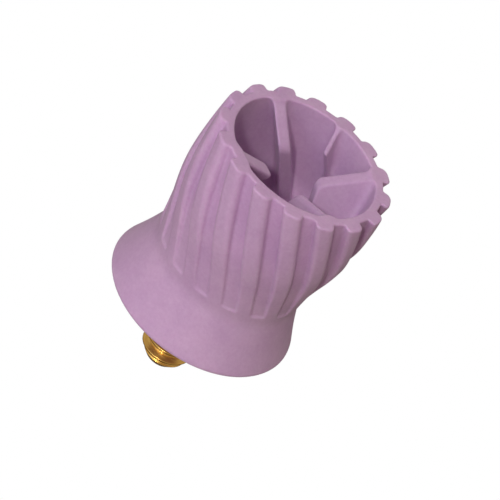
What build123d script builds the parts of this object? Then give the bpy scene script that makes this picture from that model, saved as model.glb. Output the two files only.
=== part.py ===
from build123d import *
from math import cos, radians, sin, tan
import os

# Screw-type polishing cup: a ribbed elastomer cup moulded onto a turned brass screw.
# Millimetres. Z is the axis of rotation, +Z towards the mouth; z = 0 is the face that seats
# on the polishing angle, so the screw hangs below it.

# ---- driving dimensions: outside of the cup ----
cup_height = 7.10
base_radius = 3.39             # rim of the flared skirt, before its edge is rounded
base_edge_radius = 0.08
skirt_height = 0.94
skirt_radius = 3.00
waist_height = 1.88
waist_radius = 2.68
shoulder_height = 3.18
shoulder_radius = 2.865
barrel_height = 4.49
barrel_radius = 3.125
bulge_height = 5.79
bulge_radius = 3.186
mouth_radius = 3.15            # over the rib tips

# ---- driving dimensions: grooves that leave the ribs standing ----
rib_count = 16
groove_phase = -87.2           # angle of one groove at the mouth, degrees
groove_twist = 8.15            # degrees gained per millimetre going down
groove_start = 2.28            # height of the ledge that ends each groove
groove_start_width = 0.54
groove_start_depth = 0.07
groove_mouth_width = 0.46
groove_mouth_depth = 0.30
groove_ramp = 0.70             # share of its length over which a groove deepens

# ---- driving dimensions: bowl and its vanes ----
bowl_radius = 2.57             # at the mouth
bowl_depth = 3.70
bowl_taper = 3.0               # degrees of draft on its wall
bowl_floor_fillet = 1.10

# Every vane: angle about Z, its lean from upright, the reach of its top edge from the bowl's wall
# towards the axis, the drop and the skew of that edge, its thickness and its inner edge's draft.
vane_table = (
    {"angle": 34.6, "lean": 30, "reach": 1.76, "drop": 0.76, "skew": 0.10, "thick": 0.36, "draft": 0},
    {"angle": 135.8, "lean": 31.2, "reach": 1.52, "drop": 0.83, "skew": 0.06, "thick": 0.41, "draft": 0},
    {"angle": 228, "lean": 30, "reach": 1.80, "drop": 0.90, "skew": 0.10, "thick": 0.40, "draft": 0},
    {"angle": 314, "lean": 18, "reach": 1.68, "drop": 0.78, "skew": -0.02, "thick": 0.34, "draft": 0},
    {"angle": 83.6, "lean": 22, "reach": 0.93, "drop": 0.60, "skew": 0.27, "thick": 0.14, "draft": 0.45},
)

# ---- driving dimensions: screw ----
thread_radius = 0.89           # over the crests
thread_pitch = 0.40
thread_depth = 0.19
screw_length = 3.00            # below the seating face
tip_radius = 0.53
tip_length = 0.42              # height of the cone that leads the thread in
relief_length = 0.42           # plain neck between thread and flange
flange_radius = 1.45
flange_height = 0.40
neck_radius = 0.85
neck_height = 0.60
head_radius = 1.30
head_height = 0.75
head_edge = 0.15
head_notch_count = 8
head_notch_radius = 0.16

os.makedirs("parts", exist_ok=True)

# ---- screw insert: flange, neck and notched head sit in the rubber, the thread stands out ----
root_radius = thread_radius - thread_depth
neck_top = flange_height + neck_height
head_top = neck_top + head_height
ridge_embed = 0.04             # the ridge starts a little inside the core
crest_overrun = 0.03           # and is made a little proud, then trimmed to the crest radius
foot_half_width = 0.47 * thread_pitch
crest_half_width = 0.05 * thread_pitch
end_overrun = 0.20
ridge_overrun = 1.2 * thread_pitch

with BuildPart() as insert_head:
    with BuildSketch(Plane.XZ):
        with BuildLine():
            Polyline(
                (0, 0),
                (flange_radius, 0),
                (flange_radius, flange_height),
                (neck_radius, flange_height),
                (neck_radius, neck_top),
                (head_radius, neck_top),
                (head_radius, head_top - head_edge),
                (head_radius - head_edge, head_top),
                (0, head_top),
                close=True,
            )
        make_face()
    revolve(axis=Axis.Z)
    with BuildSketch(Plane.XY.offset(neck_top)):
        with PolarLocations(head_radius, head_notch_count):
            Circle(head_notch_radius)
    extrude(amount=head_height, mode=Mode.SUBTRACT)

with BuildPart() as thread_ridge:
    ridge_radius = root_radius - ridge_embed
    ridge_rise = thread_radius + crest_overrun - ridge_radius
    with BuildLine() as helix_line:
        Helix(
            pitch=thread_pitch,
            height=screw_length - relief_length + ridge_overrun,
            radius=ridge_radius,
            center=(0, 0, -screw_length - ridge_overrun),
        )
    with BuildSketch(Plane(helix_line.line @ 0, x_dir=(1, 0, 0), z_dir=helix_line.line % 0)):
        with BuildLine():
            Polyline(
                (0, -foot_half_width),
                (ridge_rise, -crest_half_width),
                (ridge_rise, crest_half_width),
                (0, foot_half_width),
                close=True,
            )
        make_face()
    sweep(path=helix_line.line, is_frenet=True)

with BuildPart() as screw_insert:
    with BuildSketch():
        Circle(root_radius)
    extrude(amount=-screw_length - end_overrun)
    add(thread_ridge.part)
    with BuildSketch(Plane.XZ):
        with BuildLine():
            Polyline(
                (thread_radius, end_overrun),
                (thread_radius, tip_length - screw_length),
                (tip_radius, -screw_length),
                (0, -screw_length),
                (0, -screw_length - 2 * thread_pitch),
                (thread_radius + end_overrun, -screw_length - 2 * thread_pitch),
                (thread_radius + end_overrun, end_overrun),
                close=True,
            )
        make_face()
    revolve(axis=Axis.Z, mode=Mode.SUBTRACT)
    add(insert_head.part)
screw_insert.part.label = "screw_insert"

# ---- bowl: the space inside the cup ----
bowl_floor = cup_height - bowl_depth
bowl_floor_radius = bowl_radius - bowl_depth * tan(radians(bowl_taper))

with BuildPart() as bowl:
    with BuildSketch(Plane.XZ):
        with BuildLine():
            Polyline(
                (0, bowl_floor),
                (bowl_floor_radius, bowl_floor),
                (bowl_radius, cup_height),
                (0, cup_height),
                close=True,
            )
        make_face()
    revolve(axis=Axis.Z)
    fillet(bowl.edges().filter_by(GeomType.CIRCLE).group_by(Axis.Z)[0], bowl_floor_fillet)


# Each vane is a leaning plate. Its outline starts outside the bowl's wall, runs along the falling top
# edge, turns down the inner edge and is closed below the floor; the bowl then trims it.
vane_depth = bowl_depth + 1.2
wall_overrun = 2.0

with BuildPart() as vanes:
    for vane in vane_table:
        outward = Vector(cos(radians(vane["angle"])), sin(radians(vane["angle"])), 0)
        sideways = Vector(-outward.Y, outward.X, 0)
        sink = Vector(0, 0, -cos(radians(vane["lean"])))
        down = sink - sideways * sin(radians(vane["lean"]))
        rim = outward * bowl_radius + Vector(0, 0, cup_height)
        top_edge = Vector(0, 0, -vane["drop"]) - (outward + sideways * vane["skew"]) * vane["reach"]
        tip = rim + top_edge
        overrun = top_edge.normalized() * wall_overrun
        face_normal = down.cross(top_edge).normalized()
        inner_edge = down + outward * vane["draft"]
        inner_edge -= sideways * (inner_edge.dot(face_normal) / sideways.dot(face_normal))
        tip_foot = tip + inner_edge * vane_depth
        wall_foot = rim - overrun + down * vane_depth
        spread = vane["thick"] / 2 / face_normal.dot(sideways)
        outline = Plane(rim, x_dir=top_edge.normalized(), z_dir=face_normal)
        with BuildSketch(outline):
            with BuildLine():
                Polyline(
                    outline.to_local_coords(rim - overrun),
                    outline.to_local_coords(tip),
                    outline.to_local_coords(tip_foot),
                    outline.to_local_coords(wall_foot),
                    close=True,
                )
            make_face()
        extrude(amount=spread, dir=sideways, both=True)
    add(bowl.part, mode=Mode.INTERSECT)

# ---- one groove: a lofted bar that turns about the cup as it rises ----
groove_stations = (
    (groove_start, (waist_radius + shoulder_radius) / 2),
    (shoulder_height, shoulder_radius),
    (barrel_height, barrel_radius),
    (bulge_height, bulge_radius),
    (cup_height, mouth_radius),
    (cup_height + 0.5, mouth_radius),
)
groove_bar_depth = 1.5

with BuildPart() as groove:
    for height, surface_radius in groove_stations:
        share = (height - groove_start) / (cup_height - groove_start)
        width = groove_start_width + (groove_mouth_width - groove_start_width) * share
        deepened = min(1, share / groove_ramp)
        depth = groove_start_depth + (groove_mouth_depth - groove_start_depth) * deepened
        turn = groove_phase + groove_twist * (cup_height - height)
        with BuildSketch(Plane.XY.offset(height).rotated((0, 0, turn))):
            with Locations((surface_radius - depth + groove_bar_depth / 2, 0)):
                Rectangle(groove_bar_depth, width)
    loft()

# ---- polishing cup: one elastomer moulding ----
with BuildPart() as polishing_cup:
    with BuildSketch(Plane.XZ):
        with BuildLine():
            Line((0, 0), (base_radius, 0))
            Spline((base_radius, 0), (skirt_radius, skirt_height), (waist_radius, waist_height))
            Spline(
                (waist_radius, waist_height),
                (shoulder_radius, shoulder_height),
                (barrel_radius, barrel_height),
                (bulge_radius, bulge_height),
                (mouth_radius, cup_height),
            )
            Line((mouth_radius, cup_height), (0, cup_height))
            Line((0, cup_height), (0, 0))
        make_face()
    revolve(axis=Axis.Z)
    fillet(polishing_cup.edges().filter_by(GeomType.CIRCLE).group_by(Axis.Z)[0], base_edge_radius)
    with PolarLocations(0, rib_count):
        add(groove.part, mode=Mode.SUBTRACT)
    add(bowl.part, mode=Mode.SUBTRACT)
    add(vanes.part)
    add(insert_head.part, mode=Mode.SUBTRACT)
polishing_cup.part.label = "polishing_cup"

export_step(polishing_cup.part, "parts/polishing_cup.step")
export_step(screw_insert.part, "parts/screw_insert.step")
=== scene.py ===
from math import cos, pi, radians, sin, sqrt, tan

import bpy
import numpy as np
from mathutils import Matrix, Vector


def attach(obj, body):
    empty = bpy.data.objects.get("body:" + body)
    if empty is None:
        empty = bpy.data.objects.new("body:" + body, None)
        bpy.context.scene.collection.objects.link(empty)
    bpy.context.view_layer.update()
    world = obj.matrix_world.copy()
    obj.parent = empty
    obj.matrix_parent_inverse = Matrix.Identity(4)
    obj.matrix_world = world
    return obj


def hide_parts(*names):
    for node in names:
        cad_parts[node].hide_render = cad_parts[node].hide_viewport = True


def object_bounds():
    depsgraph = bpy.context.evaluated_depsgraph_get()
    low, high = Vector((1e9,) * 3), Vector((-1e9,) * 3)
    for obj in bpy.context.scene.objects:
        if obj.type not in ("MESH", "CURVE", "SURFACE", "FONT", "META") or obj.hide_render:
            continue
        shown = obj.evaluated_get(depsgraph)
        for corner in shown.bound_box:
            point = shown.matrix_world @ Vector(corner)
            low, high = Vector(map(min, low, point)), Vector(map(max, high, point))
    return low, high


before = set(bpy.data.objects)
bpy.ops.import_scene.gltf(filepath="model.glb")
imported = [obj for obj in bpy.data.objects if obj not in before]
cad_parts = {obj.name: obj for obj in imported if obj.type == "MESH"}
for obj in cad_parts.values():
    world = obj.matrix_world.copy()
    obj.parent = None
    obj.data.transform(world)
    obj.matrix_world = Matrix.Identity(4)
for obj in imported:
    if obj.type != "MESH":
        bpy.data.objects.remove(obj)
cad_low, cad_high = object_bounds()

MM = 0.001
ROOT = "root"

# ------------------------------------------------------------------ the cup's shape, in millimetres
CUP_HEIGHT = 7.10
SKIRT_PROFILE = ((0.0, 3.39), (0.94, 3.00), (1.88, 2.68))            # (height, radius)
BARREL_PROFILE = ((1.88, 2.68), (3.18, 2.865), (4.49, 3.125), (5.79, 3.186), (7.10, 3.15))
WAIST_HEIGHT = 1.88
WAIST_BLEND = 0.10            # roundings: larger is softer
BASE_EDGE = 0.10
MOUTH_EDGE = 0.07
WALL_SLOPE = 0.93             # turns a difference of radii into a distance from the sloping wall

RIB_COUNT = 16
GROOVE_PHASE = -87.2          # degrees, at the mouth
GROOVE_TWIST = 8.15           # degrees per millimetre going down
GROOVE_START = 2.28
GROOVE_WIDTHS = (0.54, 0.46)  # at its start and at the mouth
GROOVE_DEPTHS = (0.05, 0.30)
GROOVE_RAMP = 0.70            # share of its length over which a groove deepens
GROOVE_LEAN = 23              # degrees from upright, on the wall
GROOVE_CORNER = 0.08
GROOVE_END_SLOPE = 0.8
RIB_EDGES = (0.65, 1.10)      # rounding of a rib's two edges, as shares of the groove's depth
RIB_EDGE_CHANGE = 0.1         # width over which one rounding turns into the other

BOWL_RADIUS = 2.57
BOWL_DEPTH = 3.70
BOWL_TAPER = 3.0
BOWL_FLOOR_BLEND = 1.3
BOWL_EDGE = 0.07

# angle, lean, reach, drop, thickness, skew of the top edge, draft of the inner edge, corner and edge rounding
VANES = ((135.8, 31.2, 1.52, 0.83, 0.41, 0.06, 0.0, 0.20, 0.08),
         (34.6, 30, 1.76, 0.76, 0.36, 0.10, 0.0, 0.20, 0.05),
         (230.3, 30, 1.78, 0.90, 0.58, 0.10, 0.0, 0.25, 0.20),
         (311.8, 18, 1.68, 0.78, 0.25, 0.045, 0.0, 0.20, 0.18),
         (83.6, 22, 0.93, 0.60, 0.14, 0.27, 0.45, 0.06, 0.04))
VANE_ROOT_BLEND = 0.28
VANE_WALL_OVERLAP = 0.1       # how far a vane runs into the wall
VANE_FLOOR_OVERLAP = 0.4      # and into the floor
VANE_TOP_GAP = 0.02           # its top lies this far under the rim
VANE_TOP_EDGE = 0.05
RIM_EDGE = 0.03
FAR_AWAY = 9.0

VOXEL = 0.045
GRID_MARGIN = 0.2
GRID_REACH = 3.4              # a little more than the base's radius
SLAB = 12                     # grid layers worked out at a time


def smooth_max(a, b, blend):
    """The larger of two signed values, with the corner between them rounded over the blend."""
    mix = np.clip(0.5 + 0.5 * (a - b) / blend, 0, 1)
    return b + (a - b) * mix + blend * mix * (1 - mix)


def smooth_min(a, b, blend):
    return -smooth_max(-a, -b, blend)


def natural_spline(knots):
    """A smooth curve through (x, y) knots, as a function of an array."""
    x = np.array([k[0] for k in knots])
    y = np.array([k[1] for k in knots])
    h = np.diff(x)
    n = len(x)
    system = np.eye(n)
    right = np.zeros(n)
    for i in range(1, n - 1):
        system[i, i - 1:i + 2] = h[i - 1], 2 * (h[i - 1] + h[i]), h[i]
        right[i] = 6 * ((y[i + 1] - y[i]) / h[i] - (y[i] - y[i - 1]) / h[i - 1])
    bend = np.linalg.solve(system, right)

    def value(at):
        i = np.clip(np.searchsorted(x, at) - 1, 0, n - 2)
        a, b = x[i + 1] - at, at - x[i]
        return ((bend[i] * a ** 3 + bend[i + 1] * b ** 3) / (6 * h[i])
                + (y[i] / h[i] - bend[i] * h[i] / 6) * a + (y[i + 1] / h[i] - bend[i + 1] * h[i] / 6) * b)
    return value


skirt_radius = natural_spline(SKIRT_PROFILE)
barrel_radius = natural_spline(BARREL_PROFILE)


def outer_radius(z):
    """The cup's radius over its ribs: the flared skirt meets the barrel in a soft crease at the waist."""
    skirt = skirt_radius(np.clip(z, 0, WAIST_HEIGHT + 0.6))
    barrel = barrel_radius(np.clip(z, WAIST_HEIGHT - 0.6, CUP_HEIGHT))
    return smooth_max(skirt, barrel, WAIST_BLEND)


def cross(a, b):
    return (a[1] * b[2] - a[2] * b[1], a[2] * b[0] - a[0] * b[2], a[0] * b[1] - a[1] * b[0])


def unit(a):
    length = sqrt(a[0] ** 2 + a[1] ** 2 + a[2] ** 2)
    return tuple(v / length for v in a)


def vane_field(x, y, z, vane):
    """Signed distance to one leaning plate whose top edge falls from the rim towards the axis."""
    angle, lean, reach, drop, thickness, skew, draft, corner_round, edge_round = vane
    outward = (cos(radians(angle)), sin(radians(angle)), 0)
    sideways = (-outward[1], outward[0], 0)
    sink, lay = cos(radians(lean)), sin(radians(lean))
    down = (-sideways[0] * lay, -sideways[1] * lay, -sink)
    edge = tuple(-outward[k] * reach - sideways[k] * skew * reach for k in (0, 1)) + (-drop,)
    face = unit(cross(down, edge))
    top = unit(cross(sideways, edge))
    inner = unit(cross(sideways, tuple(down[k] + draft * outward[k] for k in range(3))))
    q = (x - BOWL_RADIUS * outward[0], y - BOWL_RADIUS * outward[1], z - CUP_HEIGHT)

    def along(normal, shift=(0, 0, 0)):
        return sum((q[k] - shift[k]) * normal[k] for k in range(3))

    corner = smooth_max(along(inner, edge), along(top), corner_round)
    return smooth_max(np.abs(along(face)) - thickness / 2, corner, edge_round)


def cup_field(x, y, z):
    """Signed value of the cup: negative inside the rubber. Arrays in millimetres."""
    r = np.sqrt(x * x + y * y)
    zc = np.clip(z, 0, CUP_HEIGHT)
    radius = outer_radius(zc)
    outside = (r - radius) * WALL_SLOPE

    share = np.clip((z - GROOVE_START) / (CUP_HEIGHT - GROOVE_START), 0, 1)
    width = GROOVE_WIDTHS[0] + (GROOVE_WIDTHS[1] - GROOVE_WIDTHS[0]) * share
    depth = GROOVE_DEPTHS[0] + (GROOVE_DEPTHS[1] - GROOVE_DEPTHS[0]) * np.minimum(1, share / GROOVE_RAMP)
    spacing = 2 * pi / RIB_COUNT
    turn = np.arctan2(y, x) - np.radians(GROOVE_PHASE + GROOVE_TWIST * (CUP_HEIGHT - z))
    turn = np.mod(turn + spacing / 2, spacing) - spacing / 2
    wall = (np.abs(turn) * r - width / 2) * cos(radians(GROOVE_LEAN))
    groove = smooth_max(wall, (radius - depth - r), GROOVE_CORNER)
    groove = smooth_max(groove, (GROOVE_START - z) * GROOVE_END_SLOPE, GROOVE_CORNER)
    trailing = np.clip(0.5 - turn * r / RIB_EDGE_CHANGE, 0, 1)
    body = smooth_max(outside, -groove, depth * (RIB_EDGES[0] + (RIB_EDGES[1] - RIB_EDGES[0]) * trailing))

    body = smooth_max(body, z - CUP_HEIGHT, MOUTH_EDGE)
    body = smooth_max(body, -z, BASE_EDGE)

    lean = tan(radians(BOWL_TAPER))
    bowl_wall = (r - BOWL_RADIUS + (CUP_HEIGHT - z) * lean) * cos(radians(BOWL_TAPER))
    bowl = smooth_max(bowl_wall, CUP_HEIGHT - BOWL_DEPTH - z, BOWL_FLOOR_BLEND)
    body = smooth_max(body, -bowl, BOWL_EDGE)

    vanes = np.full_like(r, FAR_AWAY)
    for vane in VANES:
        vanes = np.minimum(vanes, vane_field(x, y, z, vane))
    vanes = np.maximum(vanes, bowl_wall - VANE_WALL_OVERLAP)
    vanes = smooth_max(vanes, z - CUP_HEIGHT + VANE_TOP_GAP, VANE_TOP_EDGE)
    vanes = np.maximum(vanes, CUP_HEIGHT - BOWL_DEPTH - VANE_FLOOR_OVERLAP - z)
    return smooth_max(smooth_min(body, vanes, VANE_ROOT_BLEND), z - CUP_HEIGHT, RIM_EDGE)


def level_surface(field, low, high, step):
    """Vertices and quads on the field's zero level, one vertex per grid cell that it crosses."""
    axes = [np.arange(a, b + step, step) for a, b in zip(low, high)]
    shape = tuple(len(a) for a in axes)
    values = np.empty(shape, np.float32)
    for start in range(0, shape[2], SLAB):
        x, y, z = np.meshgrid(axes[0], axes[1], axes[2][start:start + SLAB], indexing="ij")
        values[:, :, start:start + SLAB] = field(x, y, z)
    inside = values < 0
    stride = (shape[1] * shape[2], shape[2], 1)
    cells, places, corners = [], [], []
    for axis in range(3):
        u, v = (axis + 1) % 3, (axis + 2) % 3
        here = [slice(None)] * 3
        there = [slice(None)] * 3
        here[axis], there[axis] = slice(0, -1), slice(1, None)
        for side in (u, v):
            here[side] = there[side] = slice(1, -1)
        first, second = inside[tuple(here)], inside[tuple(there)]
        at = np.argwhere(first != second)
        at[:, u] += 1
        at[:, v] += 1
        flat = at @ np.array(stride)
        start_value = values.reshape(-1)[flat]
        end_value = values.reshape(-1)[flat + stride[axis]]
        place = at.astype(float)
        place[:, axis] += start_value / (start_value - end_value)
        around = np.stack([flat - stride[u] - stride[v], flat - stride[v], flat, flat - stride[u]], axis=1)
        outward = start_value < 0
        around[~outward] = around[~outward][:, ::-1]
        corners.append(around)
        for k in range(4):
            cells.append(around[:, k])
            places.append(place)
    cells, places = np.concatenate(cells), np.concatenate(places)
    used, index = np.unique(cells, return_inverse=True)
    count = np.bincount(index)
    points = np.stack([np.bincount(index, places[:, k]) / count for k in range(3)], axis=1)
    points = points * step + np.array([a[0] for a in axes])
    quads = np.searchsorted(used, np.concatenate(corners))
    return points, quads


def settle_on(field, points, rounds, reach):
    """Moves points along the field's slope until they lie on its zero level."""
    points = points.copy()
    for _ in range(rounds):
        value = field(points[:, 0], points[:, 1], points[:, 2])
        slope = np.empty_like(points)
        probe = 0.008
        for k in range(3):
            ahead, behind = points.copy(), points.copy()
            ahead[:, k] += probe
            behind[:, k] -= probe
            slope[:, k] = (field(*ahead.T) - field(*behind.T)) / (2 * probe)
        steep = np.maximum((slope ** 2).sum(1), 0.2)
        move = -(value / steep)[:, None] * slope
        length = np.linalg.norm(move, axis=1)[:, None]
        points += move * np.minimum(1, reach / np.maximum(length, 1e-9))
    return points


def mesh_object(name, points_mm, faces, smooth=True):
    mesh = bpy.data.meshes.new(name)
    mesh.from_pydata((np.asarray(points_mm) * MM).tolist(), [], faces)
    mesh.polygons.foreach_set("use_smooth", [smooth] * len(mesh.polygons))
    mesh.update()
    piece = bpy.data.objects.new(name, mesh)
    bpy.context.scene.collection.objects.link(piece)
    return piece


side = GRID_REACH + GRID_MARGIN
cup_points, cup_quads = level_surface(
    cup_field, (-side, -side, -GRID_MARGIN), (side, side, CUP_HEIGHT + GRID_MARGIN), VOXEL)
cup_points = settle_on(cup_field, cup_points, 2, VOXEL / 2)
cup = mesh_object("cup_moulding", cup_points, cup_quads.tolist())

# ------------------------------------------------------------------ the screw, in millimetres
THREAD_RADIUS = 0.89
THREAD_PITCH = 0.40
THREAD_DEPTH = 0.19
THREAD_PHASE = 0.48            # in turns
SCREW_LENGTH = 3.00
TIP_RADIUS = 0.53
TIP_LENGTH = 0.42               # height of the cone that leads the thread in
RELIEF_LENGTH = 0.42
RIDGE_FOOT = 0.47              # half widths of the ridge, as shares of the pitch
RIDGE_SLOPE = 0.42
RELIEF_FADE = 0.12
TIP_BLEND = 0.03
FLANGE_RADIUS = 1.45
AROUND = 192                   # points round the screw
ROW_STEP = 0.011
END_RINGS = (0.02, 0.2, 0.4, TIP_RADIUS - 0.03)
SHANK_RADIUS = THREAD_RADIUS - THREAD_DEPTH
HEAD_PROFILE = (               # (radius, height) up the relief, flange, neck and head inside the rubber
    (SHANK_RADIUS, -0.2), (SHANK_RADIUS, -0.06), (SHANK_RADIUS + 0.03, -0.015), (SHANK_RADIUS + 0.08, 0.0),
    (1.0, 0.0), (1.3, 0.0), (FLANGE_RADIUS - 0.02, 0.0), (FLANGE_RADIUS, 0.02), (FLANGE_RADIUS, 0.38),
    (0.9, 0.40), (0.85, 0.45), (0.85, 0.98), (1.25, 1.0), (1.3, 1.05), (1.3, 1.6), (1.15, 1.75),
    (0.5, 1.75), (0.02, 1.75))


def screw_radius(angle, z):
    """Radius of the threaded shank at an angle in turns and a height below the seat."""
    phase = np.mod(z / THREAD_PITCH - angle + THREAD_PHASE, 1.0)
    rise = np.clip((RIDGE_FOOT - np.abs(phase - 0.5)) / RIDGE_SLOPE, 0, 1)
    radius = SHANK_RADIUS + THREAD_DEPTH * rise
    fade = np.clip((-RELIEF_LENGTH - z) / RELIEF_FADE + 0.5, 0, 1)
    radius = SHANK_RADIUS + (radius - SHANK_RADIUS) * fade
    cone = TIP_RADIUS + (THREAD_RADIUS - TIP_RADIUS) * (z + SCREW_LENGTH) / TIP_LENGTH
    return smooth_min(radius, cone, TIP_BLEND)


def build_screw():
    turns = np.arange(AROUND) / AROUND
    rows = []
    heights = np.arange(-SCREW_LENGTH, -0.30, ROW_STEP)
    for r in END_RINGS:
        rows.append((np.full(AROUND, r), np.full(AROUND, -SCREW_LENGTH)))
    for z in heights[1:]:
        rows.append((screw_radius(turns, np.full(AROUND, z)), np.full(AROUND, z)))
    for r, z in HEAD_PROFILE:
        rows.append((np.full(AROUND, r), np.full(AROUND, z)))
    points = []
    for r, z in rows:
        points.append(np.stack([r * np.cos(2 * pi * turns), r * np.sin(2 * pi * turns), z], axis=1))
    points = np.concatenate(points)
    faces = []
    for row in range(len(rows) - 1):
        a, b = row * AROUND, (row + 1) * AROUND
        for k in range(AROUND):
            n = (k + 1) % AROUND
            faces.append((a + k, a + n, b + n, b + k))
    faces.append(tuple(reversed(range(AROUND))))
    last = (len(rows) - 1) * AROUND
    faces.append(tuple(range(last, last + AROUND)))
    return mesh_object("threaded_screw", points, faces)


screw = build_screw()


# ------------------------------------------------------------------ materials
FLOOR_GLOW = (0.265, 0.235, 0.20)
ROOM_GLOW = (0.285, 0.255, 0.222)
FLOOR_MIRRORED = (0.12, 0.09, 0.06)
ROOM_MIRRORED = (0.50, 0.50, 0.50)


class Nodes:
    """A short way to build one node material."""

    def __init__(self, name):
        self.material = bpy.data.materials.new(name)
        self.material.use_nodes = True
        self.tree = self.material.node_tree
        self.shader = self.tree.nodes["Principled BSDF"]

    def add(self, kind, **settings):
        node = self.tree.nodes.new(kind)
        for key, value in settings.items():
            if hasattr(node, key):
                setattr(node, key, value)
            else:
                node.inputs[key].default_value = value
        return node

    def link(self, source, output, target, socket):
        self.tree.links.new(source.outputs[output], target.inputs[socket])


def elastomer():
    n = Nodes("cup_elastomer")
    s = n.shader.inputs
    where = n.add("ShaderNodeTexCoord")
    scale = n.add("ShaderNodeMapping")
    scale.inputs["Scale"].default_value = (1000, 1000, 1000)
    n.link(where, "Object", scale, "Vector")
    cloud = n.add("ShaderNodeTexNoise", Scale=0.9, Detail=3.0, Roughness=0.55)
    grain = n.add("ShaderNodeTexNoise", Scale=9.0, Detail=4.0, Roughness=0.65)
    for t in (cloud, grain):
        n.link(scale, "Vector", t, "Vector")
    ramp = n.add("ShaderNodeValToRGB")
    ramp.color_ramp.elements[0].position = 0.3
    ramp.color_ramp.elements[0].color = (0.535, 0.325, 0.52, 1)
    ramp.color_ramp.elements[1].position = 0.7
    ramp.color_ramp.elements[1].color = (0.60, 0.375, 0.57, 1)
    n.link(cloud, "Fac", ramp, "Fac")
    place = n.add("ShaderNodeSeparateXYZ")
    n.link(scale, "Vector", place, "Vector")
    flat = n.add("ShaderNodeVectorMath", operation="MULTIPLY")
    flat.inputs[1].default_value = (1, 1, 0)
    n.link(scale, "Vector", flat, "Vector")
    radius = n.add("ShaderNodeVectorMath", operation="LENGTH")
    n.link(flat, "Vector", radius, "Vector")
    profile = n.add("ShaderNodeValToRGB")
    profile.color_ramp.elements.remove(profile.color_ramp.elements[1])
    for height, size in SKIRT_PROFILE[:-1] + BARREL_PROFILE:
        stop = profile.color_ramp.elements.new(height / CUP_HEIGHT)
        stop.color = (size / 4, size / 4, size / 4, 1)
    profile.color_ramp.elements.remove(profile.color_ramp.elements[0])
    share = n.add("ShaderNodeMath", operation="DIVIDE")
    share.inputs[1].default_value = CUP_HEIGHT
    n.link(place, "Z", share, 0)
    n.link(share, "Value", profile, "Fac")
    full = n.add("ShaderNodeMath", operation="MULTIPLY")
    full.inputs[1].default_value = 4
    n.link(profile, "Color", full, 0)
    sunk = n.add("ShaderNodeMath", operation="SUBTRACT")
    n.link(full, "Value", sunk, 0)
    n.link(radius, "Value", sunk, 1)
    # Painted shade: a slightly darker, more violet multiplier on the base colour wherever the surface lies
    # inside the outer profile. It is strongest in the grooves and faint on the bowl's inner walls, and stands
    # in for the shade that falls in these recesses.
    painted_recess_shade = n.add("ShaderNodeValToRGB")
    painted_recess_shade.color_ramp.elements[0].position = 0.05
    painted_recess_shade.color_ramp.elements[0].color = (1, 1, 1, 1)
    painted_recess_shade.color_ramp.elements[1].position = 0.46
    painted_recess_shade.color_ramp.elements[1].color = (0.985, 0.99, 1.0, 1)
    for position in (0.22, 0.36):
        stop = painted_recess_shade.color_ramp.elements.new(position)
        stop.color = (0.975, 0.93, 0.985, 1)
    n.link(sunk, "Value", painted_recess_shade, "Fac")
    below = n.add("ShaderNodeMath", operation="LESS_THAN")
    below.inputs[1].default_value = CUP_HEIGHT - 0.06
    n.link(place, "Z", below, 0)
    # Multiplies the painted recess shade into the mottled base colour everywhere below the mouth's top face.
    colour_with_painted_shade = n.add("ShaderNodeMix", data_type="RGBA", blend_type="MULTIPLY")
    n.tree.links.new(painted_recess_shade.outputs["Color"], colour_with_painted_shade.inputs[7])
    n.tree.links.new(below.outputs[0], colour_with_painted_shade.inputs["Factor"])
    n.tree.links.new(ramp.outputs["Color"], colour_with_painted_shade.inputs[6])
    tint = n.add("ShaderNodeMix", data_type="RGBA", blend_type="SOFT_LIGHT")
    tint.inputs["Factor"].default_value = 0.25
    n.tree.links.new(colour_with_painted_shade.outputs[2], tint.inputs[6])
    n.tree.links.new(grain.outputs["Fac"], tint.inputs[7])
    n.tree.links.new(tint.outputs[2], s["Base Color"])
    bump = n.add("ShaderNodeBump", Strength=0.35, Distance=0.00002)
    n.link(grain, "Fac", bump, "Height")
    n.link(bump, "Normal", n.shader, "Normal")
    s["Roughness"].default_value = 0.62
    s["Specular IOR Level"].default_value = 0.2
    s["Subsurface Weight"].default_value = 0.25
    s["Subsurface Radius"].default_value = (1.0, 0.55, 0.9)
    s["Subsurface Scale"].default_value = 0.00035
    s["Sheen Weight"].default_value = 0.08
    s["Sheen Roughness"].default_value = 0.5
    return n.material


def brass():
    n = Nodes("insert_brass")
    s = n.shader.inputs
    where = n.add("ShaderNodeTexCoord")
    scale = n.add("ShaderNodeMapping")
    scale.inputs["Scale"].default_value = (2000, 2000, 26000)
    n.link(where, "Object", scale, "Vector")
    marks = n.add("ShaderNodeTexNoise", Scale=1.0, Detail=3.0, Roughness=0.6)
    n.link(scale, "Vector", marks, "Vector")
    ramp = n.add("ShaderNodeValToRGB")
    ramp.color_ramp.elements[0].position = 0.25
    ramp.color_ramp.elements[0].color = (0.70, 0.36, 0.07, 1)
    ramp.color_ramp.elements[1].position = 0.75
    ramp.color_ramp.elements[1].color = (0.92, 0.57, 0.16, 1)
    n.link(marks, "Fac", ramp, "Fac")
    n.link(ramp, "Color", n.shader, "Base Color")
    rough = n.add("ShaderNodeMapRange")
    rough.inputs["To Min"].default_value = 0.16
    rough.inputs["To Max"].default_value = 0.34
    n.link(marks, "Fac", rough, "Value")
    n.link(rough, "Result", n.shader, "Roughness")
    bump = n.add("ShaderNodeBump", Strength=0.3, Distance=0.000004)
    n.link(marks, "Fac", bump, "Height")
    n.link(bump, "Normal", n.shader, "Normal")
    s["Metallic"].default_value = 1.0
    return n.material


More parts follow.
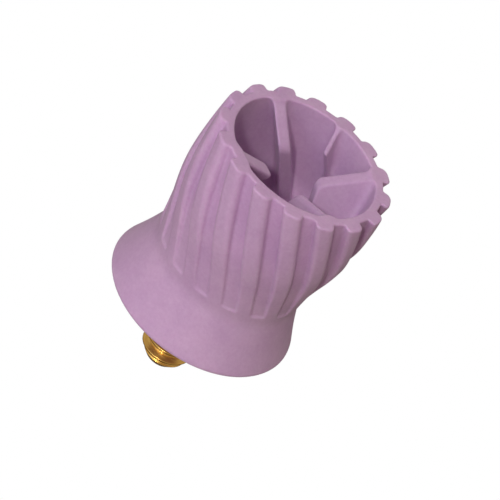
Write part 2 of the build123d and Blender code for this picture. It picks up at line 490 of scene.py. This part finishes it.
def seen_white(tree, kind, output, lighting, mirrored):
    """White where the camera looks straight at it, dimmer in what it lights and in what metal mirrors."""
    path = tree.nodes.new("ShaderNodeLightPath")
    shader = None
    for colour, ray in ((lighting, None), (mirrored, "Is Glossy Ray"), ((1, 1, 1), "Is Camera Ray")):
        glow = tree.nodes.new(kind)
        glow.inputs["Color"].default_value = (*colour, 1)
        if shader is None:
            shader = glow
            continue
        mix = tree.nodes.new("ShaderNodeMixShader")
        tree.links.new(path.outputs[ray], mix.inputs[0])
        tree.links.new(shader.outputs[0], mix.inputs[1])
        tree.links.new(glow.outputs[0], mix.inputs[2])
        shader = mix
    tree.links.new(shader.outputs[0], tree.nodes[output].inputs["Surface"])


def floor_material():
    n = Nodes("studio_floor")
    seen_white(n.tree, "ShaderNodeEmission", "Material Output", FLOOR_GLOW, FLOOR_MIRRORED)
    return n.material


cup.data.materials.append(elastomer())
screw.data.materials.append(brass())

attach(cup, ROOT)
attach(screw, ROOT)
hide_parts("polishing_cup")
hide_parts("screw_insert")

# ------------------------------------------------------------------ stage, light and camera
FLOOR_DROP = 0.10
FLOOR_SIZE = 3.0
floor_z = cad_low.z - FLOOR_DROP
half = FLOOR_SIZE / 2
corners = [(-half, -half, floor_z), (half, -half, floor_z), (half, half, floor_z), (-half, half, floor_z)]
floor_mesh = bpy.data.meshes.new("floor")
floor_mesh.from_pydata(corners, [], [(0, 1, 2, 3)])
floor = bpy.data.objects.new("floor", floor_mesh)
bpy.context.scene.collection.objects.link(floor)
floor.data.materials.append(floor_material())

centre = Vector((0, 0, 3.0 * MM))
LIGHT_DISTANCE = 0.30
SOFT = 0.15                     # side of a soft light
SMALL = 0.02                   # and of the one that throws the shadow of the rim


def softbox(name, azimuth, elevation, size, power, colour=(1, 1, 1)):
    """A square area light that points at the cup. Azimuth 0 is on the camera's side, 90 on +X."""
    a, e = radians(azimuth), radians(elevation)
    out = Vector((sin(a) * cos(e), -cos(a) * cos(e), sin(e)))
    lamp = bpy.data.lights.new(name, "AREA")
    lamp.size = size
    lamp.energy = power
    lamp.color = colour
    holder = bpy.data.objects.new(name, lamp)
    holder.location = centre + out * LIGHT_DISTANCE
    holder.rotation_mode = "QUATERNION"
    holder.rotation_quaternion = (-out).to_track_quat("-Z", "Y")
    bpy.context.scene.collection.objects.link(holder)
    return holder


softbox("front_light", -9, 35, SMALL, 0.275, (0.99, 1.0, 0.95))
softbox("top_light", -10, 76, SOFT, 0.22)
softbox("back_light", 165, 10, SOFT, 0.05)
softbox("left_light", -60, 8, SOFT, 0.035)
softbox("low_light", -15, 2, SOFT, 0.135)
softbox("upper_light", -35, 30, SOFT, 0.08, (0.72, 0.98, 1.45))

world = bpy.data.worlds.new("studio")
bpy.context.scene.world = world
world.use_nodes = True
seen_white(world.node_tree, "ShaderNodeBackground", "World Output", ROOM_GLOW, ROOM_MIRRORED)

VIEW_AZIMUTH = -0.222
VIEW_ELEVATION = 36.825
VIEW_ROLL = 36.549
VIEW_DISTANCE = 107.125
VIEW_AIM = (0.332, -0.342, 3.042)
LENS = 237.6

camera_data = bpy.data.cameras.new("camera")
camera_data.lens = LENS
camera_data.sensor_width = 36
camera_data.clip_start = 0.01
camera_data.clip_end = 10
camera = bpy.data.objects.new("camera", camera_data)
bpy.context.scene.collection.objects.link(camera)
turn, tilt, roll = radians(VIEW_AZIMUTH), radians(VIEW_ELEVATION), radians(VIEW_ROLL)
forward = Vector((-sin(turn) * cos(tilt), cos(turn) * cos(tilt), -sin(tilt)))
level = forward.cross(Vector((0, 0, 1))).normalized()
upright = level.cross(forward)
right = level * cos(roll) + upright * sin(roll)
up = upright * cos(roll) - level * sin(roll)
place = Matrix((right, up, -forward)).transposed().to_4x4()
place.translation = Vector(VIEW_AIM) * MM - forward * VIEW_DISTANCE * MM
camera.matrix_world = place
bpy.context.scene.camera = camera
bpy.context.scene.view_settings.view_transform = "Standard"
